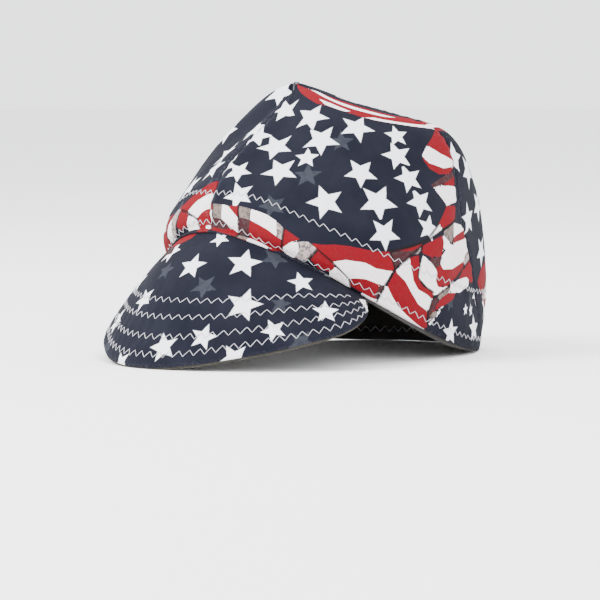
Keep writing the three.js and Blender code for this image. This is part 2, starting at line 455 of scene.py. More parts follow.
sideRibbon = [
    ("brown", [(74, 34), (78, 37.5), (82, 40), (86.5, 45.5), (82.5, 38.5), (76, 27), (75, 25)]),
    ("red", [(76, 36), (81, 41), (87, 47.5), (86.5, 45.5), (82.5, 40.5), (78, 37)]),
    ("speck", [(82, 38), (86.5, 45.5), (86, 42.5), (84, 39)]),
    ("white", [(71, 12.5), (72, 13.5), (74, 9.5), (77, 5.5), (81, 3), (86, 1), (90, 0), (93, -2),
               (81, -1), (74, 0), (69, 0)]),
    ("red", [(72, 13.5), (75, 24), (79, 21), (81.5, 16.5), (85, 12), (90, 10.5), (90, 6), (91, 2.5),
             (90, 0), (86, 1), (81, 3), (77, 5.5), (74, 9.5)]),
    ("white", [(75, 24), (81, 36), (82, 24), (84, 20), (88.5, 19.5), (91, 18), (90, 10.5), (85, 12),
               (81.5, 16.5), (79, 21)]),
    ("red", [(81, 36), (85, 39.5), (85, 33.5), (84, 27), (86, 23.5), (91.5, 22.5), (91, 18),
             (88.5, 19.5), (84, 20), (82, 24)]),
    ("white", [(86.5, 40.5), (89, 39), (92, 36), (93, 33.5), (92, 29), (93.5, 26.5), (97, 28),
               (101.5, 32), (92, 20), (91.5, 22.5), (88, 23.5), (84, 27), (85, 33.5)]),
    ("red", [(86.5, 45.5), (89, 48.5), (97, 57), (97.5, 53), (95.5, 44.5), (90.5, 41.5), (86.5, 41.5)]),
    ("brown", [(88.5, 39.5), (95.5, 44.5), (94.5, 39.5), (92, 36)]),
    ("red", [(92, 36), (94.5, 39.5), (96, 37.5), (101.5, 40), (114, 48.5), (113, 44), (101.5, 32),
             (97, 28), (93.5, 26.5), (92, 29), (93, 33.5)]),
    ("white", [(97, 57), (98, 57), (101, 53.5), (98.5, 50), (96.5, 48.5), (97.5, 53)]),
    ("beige", [(98, 59.5), (104.5, 67), (103.5, 59.5), (101, 54), (98, 57)]),
    ("white", [(104.5, 67), (111.5, 68), (114, 66), (103.5, 58.5), (103.5, 59.5)]),
    ("red", [(101, 53), (103.5, 58.5), (114, 66), (123, 68), (129, 65), (125.5, 62.5), (116, 62),
             (105, 56)]),
    ("white", [(94.5, 39.5), (95.5, 44.5), (98.5, 50), (101, 53), (105, 56), (116, 62), (125.5, 62.5),
               (115, 52), (114, 48.5), (101.5, 40), (96, 37.5)]),
    ("speck", [(115, 52), (125.5, 62.5), (129, 65), (131.5, 60.5), (113, 44), (114, 48.5)]),
    ("beige", [(92, 20), (101.5, 31.5), (100, 26), (95, 20)]),
    ("brown", [(92, 20), (95, 20), (93, 14), (91, 7.5), (90, 9.5), (91, 18)]),
    ("red", [(95, 20), (100, 26), (109.5, 29.5), (98, 18), (92, 11), (93, 14)]),
    ("white", [(100, 26), (101.5, 31.5), (107.5, 36), (116, 40), (120, 37), (109.5, 29.5)]),
    ("red", [(107.5, 36), (113, 44), (130.5, 60), (138, 54), (133, 45), (120, 37), (116, 40)]),
    ("beige", [(91, 7.5), (92, 11), (95, 15), (94, 9.5), (91, 4.5)]),
    ("white", [(91, 4.5), (94, 9.5), (95, 15), (98, 18), (93.5, 6.5), (92, 3.5)]),
    ("white", [(89, 50), (96, 62.5), (98, 61)]),
    ("red", [(96, 62.5), (102.5, 76), (108.5, 78), (106, 69), (98, 61)]),
]
curlRibbon = [
    ("brown", [(98, 86), (104, 92.5), (111.5, 99), (111, 95), (102.5, 87.5), (99, 85)]),
    ("red", [(102.5, 87.5), (111, 95), (110.5, 89.5), (108, 89)]),
    ("white", [(99, 85), (102.5, 87.5), (108, 89), (110.5, 89.5), (109.5, 80.5), (102.5, 76),
               (101.5, 78.5), (100, 82)]),
    ("red", [(105.5, 113.5), (115, 127), (120.5, 126.5), (118, 117), (114, 105), (108.5, 108.5)]),
    ("white", [(101, 105.5), (105.5, 113.5), (108.5, 108.5), (114, 105), (113, 102), (107, 99), (102, 101)]),
    ("red", [(101, 105.5), (102, 101), (107, 99), (113, 102), (109, 96.5), (104, 94.5), (101, 97),
             (100.5, 102.5)]),
]
topRibbon = [
    ("red", [(46, 137), (57, 131), (69, 129.5), (77, 134.5), (86, 135.5), (92, 134), (102, 132.5),
             (121, 127), (121, 142), (108, 148), (96, 154), (84, 156), (74, 152), (60, 145)]),
    ("white", [(76, 134.5), (86, 135.5), (90, 138.5), (82, 141), (75, 140)]),
    ("white", [(82, 148), (92, 143.5), (104, 140.5), (110, 142), (98, 147), (88, 151), (84, 156),
               (78, 154)]),
    ("white", [(93, 134), (102, 132.5), (121, 127), (121, 131), (108, 134.5), (98, 136.5)]),
]
ridgeRibbon = [
    ("red", [(116, 137), (135, 134), (158, 137), (158, 142), (136, 140), (116, 142)]),
    ("white", [(116, 132), (135, 128), (158, 131), (158, 137), (135, 134), (116, 137)]),
    ("red", [(116, 128), (135, 123), (158, 126), (158, 131), (135, 128), (116, 132)]),
]

# Dark folds of the ribbon, as lines through the same places
frontFolds = [
    [(1.5, 15), (2, 7), (0.5, 0), (0.5, -3)],
    [(15, 17), (15.5, 10), (15, 1.5), (14, -3)],
    [(35, 17), (34, 9.5), (33, 2), (34, -1)],
    [(43, 5), (47, 14), (52, 11), (58, 6), (59, 1)],
    [(74, 34), (75, 25), (71, 12.5), (69, 1)],
]
sideFolds = [
    [(75, 25), (76, 27), (82.5, 38.5), (86.5, 45.5), (89, 50)],
    [(74, 34), (82, 42.5), (89, 50), (98, 60.5), (106, 69)],
    [(89, 50), (96, 62.5)],
    [(86.5, 45), (85, 39.5), (85, 33.5), (84, 27), (86, 23.5), (91.5, 22.5)],
    [(92, 20), (91, 18), (90, 9.5), (91, 4)],
    [(92, 20), (101.5, 32), (113, 44), (131, 60)],
]

# Which part of the print lies on which panel: degrees and millimetres that it is moved by,
# and 1 or -1 for upright or upside down
panelPrint = [
    {"ribbon": [(frontRibbon, 0, 0, 1), (sideRibbon, 0, 0, 1), (curlRibbon, 0, 0, 1),
                (topRibbon, 0, 0, 1)],
     "folds": [(frontFolds, 0, 0, 1), (sideFolds, 0, 0, 1)],
     "stars": leftStars, "shadows": leftShadows, "turnBack": 0, "seed": 0},
    {"ribbon": [(sideRibbon, 268, 92, -1), (frontRibbon, 240, 34, -1), (ridgeRibbon, 0, 0, 1)],
     "folds": [(sideFolds, 268, 92, -1), (frontFolds, 240, 34, -1)],
     "stars": [], "shadows": [], "turnBack": 0, "seed": 5},
    {"ribbon": [(frontRibbon, 0, 0, 1), (frontRibbon, -65.5, 0.5, 1), (sideRibbon, -196, 2, 1)],
     "folds": [(frontFolds, 0, 0, 1), (frontFolds, -65.5, 0.5, 1), (sideFolds, -196, 2, 1)],
     "stars": [(-12, 40, 20, 9.5)], "shadows": [], "turnBack": 360, "seed": 8},
]
scatter = {"apart": 0.0205, "radius": (9.0, 10.5), "darts": 900, "shadowShare": 0.16, "highest": 0.97,
           "turn": 72}
printReach = {"edge": 3.0, "fold": 2.5, "beside": 0.6, "far": 9.0, "star": 1.3}
noSpot = (9, 9, 0)  # a place outside every star and every fold


def moved(part, degrees, height, way):
    return [(degrees + way * a, height + way * h) for a, h in part]


def edgeDistance(corners, a, h, scale):
    # distance in mm to the outline, positive inside it
    inside = False
    nearest = printReach["far"]
    for (a0, h0), (a1, h1) in zip(corners, corners[1:] + corners[:1]):
        x0, y0, x1, y1 = (a0 - a) * scale, h0 - h, (a1 - a) * scale, h1 - h
        dx, dy = x1 - x0, y1 - y0
        t = clamp(-(x0 * dx + y0 * dy) / (dx ** 2 + dy ** 2))
        nearest = min(nearest, math.hypot(x0 + t * dx, y0 + t * dy))
        if (y0 > 0) != (y1 > 0) and x0 - y0 * dx / dy > 0:
            inside = not inside
    return nearest if inside else -nearest


def foldDistance(ends, a, h, scale):
    # signed distance from the line through two places, and how far past its ends
    (a0, h0), (a1, h1) = ends
    x0, y0, x1, y1 = (a0 - a) * scale, h0 - h, (a1 - a) * scale, h1 - h
    dx, dy = x1 - x0, y1 - y0
    length = math.hypot(dx, dy)
    along = -(x0 * dx + y0 * dy) / length
    return (x0 * dy - y0 * dx) / length, max(-along, along - length)


def boxOf(places):
    degrees, heights = zip(*places)
    return min(degrees), max(degrees), min(heights), max(heights)


def measured(shapes, measure, a, h, scale, reach):
    # what measure gives for each shape near a place, by the shape's number
    wide = reach / scale
    found = {}
    for number, (shape, (left, right, low, high)) in enumerate(shapes):
        if left - wide < a < right + wide and low - reach < h < high + reach:
            found[number] = measure(shape, a, h, scale)
    return found


def printLayers(shares):
    # the piece on top near a face, what lies beside it, and its distances at the corners
    far = printReach["far"]
    middles = {}
    for number in set().union(*shares):
        middles[number] = sum(share.get(number, -far) for share in shares) / len(shares)
    shown = max((number for number, middle in middles.items() if middle > 0), default=None)
    over, room = shown, middles[shown] if shown is not None else far
    for number, middle in middles.items():
        if (shown is None or number > shown) and -middle < room:
            over, room = number, -middle
    if over is None:
        return None, None, [-far] * len(shares)
    under = shown
    if over == shown:
        room = -middles[over] - printReach["beside"]
        under = max((n for n, middle in middles.items() if n != over and middle > room), default=None)
    return over, under, [share.get(over, -far) for share in shares]


# Tones of the print: linear colour, and how blotched the ink is
tones = {
    "white": (0.82, 0.76, 0.77, 0.10),
    "red": (0.150, 0.0018, 0.0065, 0.14),
    "beige": (0.165, 0.130, 0.115, 0.9),
    "speck": (0.34, 0.28, 0.27, 1.0),
    "brown": (0.038, 0.0100, 0.0125, 0.7),
}


class Star:
    def __init__(self, place, right, up, turn, radius):
        self.place = place
        turn = math.radians(turn)
        self.along = (right * math.sin(turn) + up * math.cos(turn)) / radius
        self.aside = (right * math.cos(turn) - up * math.sin(turn)) / radius
        self.reach = radius * printReach["star"]

    def local(self, point):
        away = point - self.place
        return away.dot(self.aside), away.dot(self.along)


def starOn(place, u, v, turn, radius):
    # a star lying on a surface, its tip up the surface when its turn is nothing
    step = 0.002
    right = (place(u + step, v) - place(u - step, v)).normalized()
    up = (place(u, v + step) - place(u, v - step)).normalized()
    up = (up - right * up.dot(right)).normalized()
    return Star(place(u, v), right, up, turn, radius * mm)


def nearestStar(stars, point):
    near = [(star, (point - star.place).length) for star in stars]
    near = [(star, gap / star.reach) for star, gap in near if gap < star.reach]
    return min(near, key=lambda pair: pair[1])[0] if near else None


def scatteredStars(number, look):
    # stars thrown down by seed, kept clear of one another
    rng = random.Random(look["seed"])
    kept, shadows = [], []
    for dart in range(scatter["darts"]):
        up = rng.uniform(0.0, scatter["highest"])
        angle = rng.uniform(seamAngle(number, up), seamAngle(number + 1, up))
        point = crownPoint(angle, up)
        if all((point - star.place).length > scatter["apart"] for star in kept + shadows):
            turn, radius = rng.uniform(0, scatter["turn"]), rng.uniform(*scatter["radius"])
            star = starOn(crownPoint, angle, up, turn, radius)
            (shadows if rng.random() < scatter["shadowShare"] else kept).append(star)
    return kept, shadows


def panelStars(number, look):
    # stars and shadows of one panel; the left one, number 0, has only listed stars
    stars, shadows = scatteredStars(number, look) if number else ([], [])
    for listed, kept in ((look["stars"], stars), (look["shadows"], shadows)):
        for degrees, height, turn, radius in listed:
            angle = math.radians(degrees)
            kept.append(starOn(crownPoint, angle, upAt(angle, height * mm), turn, radius))
    return stars, shadows


def colourStars(face, layer, points, stars):
    middle = sum((points[vert] for vert in face.verts), Vector()) / len(face.verts)
    star = nearestStar(stars, middle)
    for loop in face.loops:
        loop[layer] = (*star.local(points[loop.vert]), 0) if star else noSpot


def printLayersOf(bm):
    layers = bm.loops.layers
    vectors = {name: layers.float_vector.new(name)
               for name in ("starSpot", "shadowSpot", "printEdge", "foldLine", "wear")}
    colours = {name: layers.float_color.new(name) for name in ("printOver", "printUnder")}
    return {**vectors, **colours}


def newMarks():
    # what is worked out for the corners of a printed sheet
    return {"points": {}, "shares": {}, "folds": {}, "wear": {}}


def printFace(face, layers, marks, ribbon):
    # ribbon and dark folds at one face, from what was measured at its corners
    folds = marks["folds"]
    corners = [loop.vert for loop in face.loops]
    over, under, edges = printLayers([marks["shares"][vert] for vert in corners])
    blotches = []
    for name, number in (("printOver", over), ("printUnder", under)):
        tone = tones[ribbon[number][0]] if number is not None else None
        colour = (*tone[:3], 1) if tone else (0, 0, 0, 0)
        blotches.append(tone[3] if tone else 0)
        for loop in face.loops:
            loop[layers[name]] = colour
    near = set.intersection(*(set(folds[vert]) for vert in corners))

    def away(number):
        return sum(max(abs(folds[vert][number][0]), folds[vert][number][1]) for vert in corners)

    line = min(near, key=away, default=None)
    for loop, edge in zip(face.loops, edges):
        loop[layers["printEdge"]] = (edge, *blotches)
        loop[layers["foldLine"]] = (*folds[loop.vert][line], 0) if line is not None else noSpot
        loop[layers["wear"]] = (marks["wear"][loop.vert], 0, 0)


def printSheet(bm, layers, marks, ribbon, stars, shadows):
    for face in bm.faces:
        printFace(face, layers, marks, ribbon)
        colourStars(face, layers["starSpot"], marks["points"], stars)
        colourStars(face, layers["shadowSpot"], marks["points"], shadows)


def crownPanel(name, number, materials):
    look = crownCloth
    motif = panelPrint[number]
    bm, uv = clothGrid(look)
    layers = printLayersOf(bm)
    middle = (seamAngle(number, 0.5) + seamAngle(number + 1, 0.5)) / 2
    middleLength = meridian(round(math.degrees(middle) / chart["degrees"]))[-1]
    ribbon = []
    for group, *move in motif["ribbon"]:
        ribbon += [(tone, moved(corners, *move)) for tone, corners in group]
    outlines = [(corners, boxOf(corners)) for tone, corners in ribbon]
    folds = []
    for group, *move in motif["folds"]:
        for line in group:
            line = moved(line, *move)
            folds += [(ends, boxOf(ends)) for ends in zip(line, line[1:])]
    stars, shadows = panelStars(number, motif)
    places, marks = {}, newMarks()
    for vert in bm.verts:
        share, height = vert.co.x, vert.co.y
        up = min(upAt(middle, height * middleLength), look["topShare"])
        angle = lerp(seamAngle(number, up), seamAngle(number + 1, up), share)
        length = risen(angle, up)
        length -= hemLap(angle) * max(0, 1 - length / look["lapStretch"])
        scale = chartScale(angle, up)
        degrees, high = math.degrees(angle) - motif["turnBack"], length / mm
        places[vert] = (math.degrees(angle - middle) * scale, high)
        marks["points"][vert] = crownPoint(angle, up) + Vector((0, 0, min(0, length)))
        marks["shares"][vert] = measured(outlines, edgeDistance, degrees, high, scale, printReach["edge"])
        marks["folds"][vert] = measured(folds, foldDistance, degrees, high, scale, printReach["fold"])
        seam = seamDistance(angle, up)
        away = min(abs(seam - look["wearAside"]), abs(length + hemLap(angle)))
        marks["wear"][vert] = bell(away, look["wearReach"])
        vert.co = crownClothPoint(angle, length)
    for face in bm.faces:
        for loop in face.loops:
            loop[uv].uv = places[loop.vert]
    printSheet(bm, layers, marks, ribbon, stars, shadows)
    return finishPiece(name, bm, materials, look["wall"])


# Peak: two soft cloths, quilted by four zigzag rows along their edge
peakCloth = {
    "wall": 0.0006,
    "depth": 0.0026,
    "rowDip": 0.00032,
    "rowReach": 0.0017,
    "edgeRoll": 0.00066,
    "edgeReach": 0.0016,
    "underEdge": 1.006,
    "gatherHeight": 0.00014,
    "gatherLength": 0.0088,
    "gatherMiddle": 0.78,
    "gatherSpread": 0.22,
    "foldHeight": 0.0005,
    "foldLength": 0.03,
    "sideShare": 0.999,
    "cornerShare": 0.995,  # how far across a normal is taken
    "slope": 0.7,
    "printScale": 0.9,  # mm for each hundredth across
    "meanReach": 90,  # mm
    "wearReach": 1.3,
    "columns": 210,
    "rows": 84,
}
peakRows = [  # share of the way out, from the middle to the corner
    [0.60, 0.60, 0.58, 0.52, 0.45, 0.36],
    [0.71, 0.71, 0.70, 0.66, 0.61, 0.55],
    [0.83, 0.83, 0.82, 0.79, 0.76, 0.73],
    [0.93, 0.93, 0.92, 0.91, 0.90, 0.88],
]
peakRowEnds = [0.86, 0.90, 0.94, 0.965]  # share across at which each row's thread ends


def edgeCurve():
    # front edge of the peak from the right corner round to the left one, with its lengths
    steps = 60
    half = []
    for forward, side, lift in peakEdge:
        x = side * form["peakWidth"] / 2
        y = cornerPlace.y - forward * form["peakReach"]
        half.append(Vector((x, y, lift * cornerPlace.z)) + backShift)
    points = [Vector((-p.x, p.y, p.z)) for p in reversed(half[1:])] + half
    points = [2 * points[0] - points[1]] + points + [2 * points[-1] - points[-2]]
    fine = []
    for a, b, c, d in zip(points, points[1:], points[2:], points[3:]):
        spans = [(q - p).length ** 0.5 for p, q in ((a, b), (b, c), (c, d))]
        first, span, last = spans
        leave = ((b - a) / first - (c - a) / (first + span) + (c - b) / span) * span
        arrive = ((c - b) / span - (d - b) / (span + last) + (d - c) / last) * span
        for k in range(steps):
            t = k / steps
            fine.append(b + leave * t + (3 * (c - b) - 2 * leave - arrive) * t ** 2
                        + (2 * (b - c) + leave + arrive) * t ** 3)
    fine.append(points[-2])
    return fine, runLengths(fine)


edgePoints, edgeLengths = edgeCurve()


def edgePoint(share):
    length = clamp(share) * edgeLengths[-1]
    k = max(1, min(len(edgeLengths) - 1, bisect.bisect(edgeLengths, length)))
    span = edgeLengths[k] - edgeLengths[k - 1]
    return edgePoints[k - 1].lerp(edgePoints[k], (length - edgeLengths[k - 1]) / span)


def peakPoint(across, out):
    # upper face of the peak: across from -1 to 1, out from 0 at the rim to 1 at the edge
    root = rimPoint(math.radians(form["peakHalfAngle"]) * across)
    root.z -= form["rootDrop"]
    point = root.lerp(edgePoint((across + 1) / 2), out)
    point.z += form["peakArch"] * 4 * out * (1 - out) * (1 - across ** 2)
    return point


def peakLength(across):
    return (peakPoint(across, 1) - peakPoint(across, 0)).length


def peakNormal(across, out):
    limit = peakCloth["cornerShare"]
    return -surfaceNormal(peakPoint, max(-limit, min(limit, across)), out)


def peakRowOut(row, across):
    return smoothValue(row, abs(across) * (len(row) - 1))


def peakPinch(across, out):
    # how far each face of the peak is drawn in by its stitching and its edge
    look = peakCloth
    length = peakLength(across)
    depth = look["edgeRoll"] * bell((1 - out) * length, look["edgeReach"])
    for row in peakRows:
        depth += look["rowDip"] * bell((out - peakRowOut(row, across)) * length, look["rowReach"])
    return depth


def peakWave(across, out):
    # both faces rise and fall together
    look = peakCloth
    point = peakPoint(across, out)
    gather = math.sin(across * edgeLengths[-1] / 2 * tau / look["gatherLength"] + driftAt(point))
    gather *= look["gatherHeight"] * bell(out - look["gatherMiddle"], look["gatherSpread"])
    return look["foldHeight"] * noise.noise(point / look["foldLength"]) + gather


def peakClothPoint(across, out, raised=0):
    height = peakWave(across, out) - peakPinch(across, out) + raised
    return peakPoint(across, out) + peakNormal(across, out) * height


def undersidePoint(across, out, raised=0):
    depth = peakCloth["depth"] - peakWave(across, out) - peakPinch(across, out) + raised
    place = peakPoint(across, out * peakCloth["underEdge"])
    return place - peakNormal(across, out) * depth


# Stars of the peak: share across, share out, turn, radius in mm
peakStars = [
    (0.05, 0.35, 68, 9), (0.32, 0.27, 67, 10), (0.37, 0.63, 14, 10.5), (0.24, 0.84, 18, 8),
    (0.09, 0.89, 55, 9), (0.5, 0.84, 52, 7), (0.7, 0.71, 8, 7.5), (0.61, 0.35, 48, 7.5),
    (0.37, 1.0, 50, 9), (-0.16, 0.62, 30, 8), (-0.22, 0.22, 10, 9),
    (-0.42, 0.5, 60, 9.5), (-0.62, 0.28, 25, 8), (-0.36, 0.82, 5, 8.5), (-0.66, 0.72, 40, 8),
    (-0.1, 1.0, 30, 8), (-0.86, 0.55, 12, 6.5), (0.12, 0.08, 20, 6), (-0.5, 0.04, 50, 8),
]
peakShadows = [(0.17, 0.5, 30, 8), (0.52, 0.62, 10, 6), (0.6, 0.98, 45, 8), (-0.3, 0.96, 20, 8),
               (-0.12, 0.4, 65, 7), (0.47, 0.12, 10, 8)]
peakRibbon = [  # share across and out as hundredths
    ("red", [(-50, -5), (-9, -5), (-12, 9), (-24, 16), (-40, 12), (-52, 4)]),
    ("brown", [(-30, 16), (-24, 16), (-20, 24), (-34, 26)]),
    ("white", [(91, 48), (101, 40), (101, 104), (93, 100)]),
]


def peakFlipped(across, inward):
    # the peak with its second share turned round, so that a star's tip points to the crown
    return peakPoint(across, -inward)


def peakSheet(name, place, materials, flip, printed):
    look = peakCloth
    bm, uv = clothGrid(look)
    layers = printLayersOf(bm) if printed else {}
    outlines = [(corners, boxOf(corners)) for tone, corners in peakRibbon]
    marks = newMarks()
    for vert in bm.verts:
        across, out = (2 * vert.co.x - 1) * look["sideShare"], 1 - vert.co.y
        marks["points"][vert] = peakPoint(across, out)
        marks["shares"][vert] = measured(outlines, edgeDistance, across * 100, out * 100,
                                         look["printScale"], printReach["edge"])
        marks["folds"][vert] = {}
        marks["wear"][vert] = bell((1 - out) * look["meanReach"], look["wearReach"])
        vert.co = place(across, out)
    stars, shadows = ([starOn(peakFlipped, across, -out, turn, radius)
                       for across, out, turn, radius in listed] for listed in (peakStars, peakShadows))
    for face in bm.faces:
        for loop in face.loops:
            x, y, z = loop.vert.co
            loop[uv].uv = (x / mm, (y - z * look["slope"]) / mm)
    if printed:
        printSheet(bm, layers, marks, peakRibbon, stars, shadows)
    if flip:
        bmesh.ops.reverse_faces(bm, faces=bm.faces)
    return finishPiece(name, bm, materials, look["wall"], len(materials) - 1)


# Band inside the opening
bandCloth = {
    "wall": 0.0008,
    "depth": 0.0016,
    "height": 0.030,
    # how far the band hangs below the crown's rim: the dark strip it shows there is partly the band itself
    # and partly painted shade for the shadow under the rim
    "showing": 0.0024,
    "lowRim": 0.01,  # under this height the band draws back from the floor
    "frontShowing": 0.4,
    "frontEnd": 50,  # degrees from the front
    "frontFade": 15,
    "radius": 90,  # mm, for the weave
    "lowest": 0.001,
    "weld": 0.00001,
    "columns": 300,
    "rows": 24,
}


def bandPoint(angle, length, raised=0):
    look = bandCloth
    up = upAt(angle, max(length, 0))
    normal = surfaceNormal(crownPoint, angle, max(up, look["lowest"]))
    point = crownPoint(angle, up) - normal * (look["depth"] + raised)
    if length < 0:
        turn = abs(math.degrees(wrapped(angle)))
        back = clamp((turn - look["frontEnd"]) / look["frontFade"])
        showing = min(1, rimHeight(angle) / look["lowRim"]) * lerp(look["frontShowing"], 1, back)
        point.z += length * showing
    return point


def innerBand(name, materials):
    look = bandCloth
    bm, uv = clothGrid(look)
    places = {vert: (vert.co.x * tau, lerp(-look["showing"], look["height"], vert.co.y))
              for vert in bm.verts}
    for vert, (angle, length) in places.items():
        vert.co = bandPoint(angle, length)
    for face in bm.faces:
        for loop in face.loops:
            angle, length = places[loop.vert]
            loop[uv].uv = (angle * look["radius"], length / mm)
    bmesh.ops.remove_doubles(bm, verts=bm.verts, dist=look["weld"])
    return finishPiece(name, bm, materials, look["wall"])


# Zigzag stitching: thread that dips into the cloth at each corner
stitching = {
    "halfPitch": 0.0031,
    "swing": 0.0030,
    "threadRadius": 0.00017,
    "fullReach": 0.045,
    "archHeight": 0.00032,
    "sink": 0.00012,
    "stepsPerLeg": 4,
    "innermost": 0.01,  # shares of the way out that a peak's thread keeps within
    "outermost": 0.985,
}


def tube(name, paths, closed, radius, material):
    curve = bpy.data.curves.new(name, "CURVE")
    curve.dimensions = "3D"
    curve.bevel_depth = radius
    curve.bevel_resolution = 1
    for path in paths:
        spline = curve.splines.new("POLY")
        spline.points.add(len(path) - 1)
        spline.use_cyclic_u = closed
        for knot, point in zip(spline.points, path):
            knot.co = (*point, 1)
    holder = newObject(name + "Path", curve)
    bpy.context.view_layer.update()
    mesh = bpy.data.meshes.new_from_object(holder.evaluated_get(bpy.context.evaluated_depsgraph_get()))
    mesh.name = name
    bpy.data.objects.remove(holder)
    mesh.materials.clear()
    mesh.materials.append(material)
    for polygon in mesh.polygons:
        polygon.use_smooth = True
    return newObject(name, mesh)


def zigzag(place, length, count):
    # place(share, swing, raised) gives a point; the thread arches between its corners
    look = stitching
    path = []
    for leg in range(count):
        side = 1 if leg % 2 else -1
        for k in range(look["stepsPerLeg"]):
            t = k / look["stepsPerLeg"]
            arch = 4 * t * (1 - t)
            raised = lerp(-look["sink"], look["archHeight"], arch)
            path.append(place((leg + t) / count, side * (1 - 2 * t) * look["swing"] / 2, raised))
    return path


def roundRow(row, place):
    # one closed row round the head
    steps, up = 90, 0.1
    length = sum(turnLength(k * tau / steps, up) for k in range(steps)) * tau / steps
    count = 2 * round(length / stitching["halfPitch"] / 2)

    def rowPlace(share, swing, raised):
        return place(share * tau, rowHeight(row, share * tau) + swing, raised)

    return zigzag(rowPlace, length, count)


def bandThread(angle, length, raised):
    return bandPoint(angle, length, bandCloth["wall"] + raised)


def peakThreads(place):
    look = stitching
    steps = 80
    paths = []
    for row, end in zip(peakRows, peakRowEnds):
        shares = [lerp(-end, end, k / steps) for k in range(steps + 1)]
        points = [peakPoint(share, peakRowOut(row, share)) for share in shares]
        length = sum((q - p).length for p, q in zip(points, points[1:]))
        count = round(length / look["halfPitch"])

        def rowPlace(share, swing, raised):
            across = lerp(-end, end, share)
            reach = peakLength(across)
            swing *= min(1, reach / look["fullReach"])
            out = peakRowOut(row, across) + swing / reach
            return place(across, min(look["outermost"], max(look["innermost"], out)), raised)

        paths.append(zigzag(rowPlace, length, count))
    return paths


class Wire:
    # a node's output that can be written into plain arithmetic
    def __init__(self, shader, socket):
        self.shader = shader
        self.socket = socket

    def __add__(self, other):
        return self.shader.math("ADD", self, other)

    __radd__ = __add__

    def __sub__(self, other):
        return self.shader.math("SUBTRACT", self, other)

    def __rsub__(self, other):
        return self.shader.math("SUBTRACT", other, self)

    def __mul__(self, other):
        return self.shader.math("MULTIPLY", self, other)

    __rmul__ = __mul__

    def __truediv__(self, other):
        return self.shader.math("DIVIDE", self, other)

    def __rtruediv__(self, other):
        return self.shader.math("DIVIDE", other, self)


class Shader:
    def __init__(self, name):
        self.material = bpy.data.materials.new(name)
        self.material.use_nodes = True
        self.tree = self.material.node_tree
        self.surface = self.tree.nodes["Principled BSDF"]

    def feed(self, socket, value):
        if isinstance(value, Wire):
            self.tree.links.new(value.socket, socket)
        else:
            socket.default_value = value

    def node(self, kind, settings, values):
        made = self.tree.nodes.new(kind)
        for key, value in settings.items():
            setattr(made, key, value)
        for key, value in values.items():
            self.feed(made.inputs[key], value)
        return made

    def wire(self, kind, settings, values, output=0):
        return Wire(self, self.node(kind, settings, values).outputs[output])

    def math(self, operation, first, second=0.0, third=0.0):
        return self.wire("ShaderNodeMath", {"operation": operation}, {0: first, 1: second, 2: third})

    def mix(self, factor, first, second):
        settings = {"data_type": "RGBA", "clamp_factor": True}
        values = {0: factor, 6: asColour(first), 7: asColour(second)}
        return self.wire("ShaderNodeMix", settings, values, 2)

    def shade(self, colour, factor):
        # colour times a plain number
        return self.wire("ShaderNodeVectorMath", {"operation": "SCALE"}, {0: colour, "Scale": factor})

    def step(self, value, start, end):
        # smooth rise from 0 at start to 1 at end
        settings = {"interpolation_type": "SMOOTHSTEP", "clamp": True}
        values = {"Value": value, "From Min": start, "From Max": end}
        return self.wire("ShaderNodeMapRange", settings, values)

    def attribute(self, name):
        return self.node("ShaderNodeAttribute", {"attribute_name": name}, {})

    def split(self, vector):
        made = self.node("ShaderNodeSeparateXYZ", {}, {0: vector})
        return [Wire(self, output) for output in made.outputs]

    def parts(self, name):
        # the three numbers kept under a name at the corners of each face
        return self.split(Wire(self, self.attribute(name).outputs["Vector"]))

    def place(self):
        return self.wire("ShaderNodeTexCoord", {}, {}, "Object")

    def noise(self, place, scale, detail=2.0, roughness=0.5):
        values = {"Vector": place, "Scale": scale, "Detail": detail, "Roughness": roughness}
        return self.wire("ShaderNodeTexNoise", {}, values)

    def set(self, name, value):
        self.feed(self.surface.inputs[name], value)

    def bump(self, height, strength, distance):
        values = {"Strength": strength, "Distance": distance, "Height": height}
        self.set("Normal", self.wire("ShaderNodeBump", {}, values))


def asColour(value):
    return (*value, 1.0) if isinstance(value, tuple) and len(value) == 3 else value


# Looks of the printed cloth; colours are linear, widths in mm, a star's shares of its radius
clothLook = {
    "navy": (0.0040, 0.0047, 0.0105),
    "navyWorn": (0.0075, 0.0082, 0.0155),
    "star": (0.80, 0.81, 0.86),
    "starNotch": 0.45,
    "starEdge": 0.03,
    "shadow": (0.026, 0.029, 0.038),
    "blotch": (0.045, 0.036, 0.036),
    "rubbed": (0.22, 0.22, 0.25),
    "reverse": (0.22, 0.22, 0.235),
    "reverseShare": 0.55,
    "fold": (0.006, 0.004, 0.005),
    "foldWidth": 0.6,
    "edgeWidth": 0.12,
    "twillPitch": 0.62,
    "roughness": 0.88,
}


def starMask(shader, name, blur):
    # 1 inside a five-pointed star, from its own coordinates with the tip at (0, 1)
    notch, edge = clothLook["starNotch"], clothLook["starEdge"]
    tenth = math.pi / 5
    across, along = shader.parts(name)[:2]
    turn = shader.math("WRAP", shader.math("ARCTAN2", across, along), tenth, -tenth)
    turn = shader.math("ABSOLUTE", turn)
    radius = shader.math("SQRT", across * across + along * along)
    x, y = notch * math.sin(tenth), notch * math.cos(tenth) - 1
    aside = radius * shader.math("SINE", turn)
    forward = radius * shader.math("COSINE", turn) - 1
    inward = (aside * y - forward * x) / math.hypot(x, y)
    return shader.step(inward + blur, -edge, edge)


def weave(shader, pitch):
    # twill lines from the cloth's own coordinates in mm
    across, along = shader.split(shader.wire("ShaderNodeUVMap", {"uv_map": "cloth"}, {}))[:2]
    twill = shader.math("SINE", (across + along * 1.7) * (tau / pitch))
    warp = shader.math("SINE", (across - along * 0.4) * (tau / pitch * 1.3))
    return twill * 0.7 + warp * 0.3


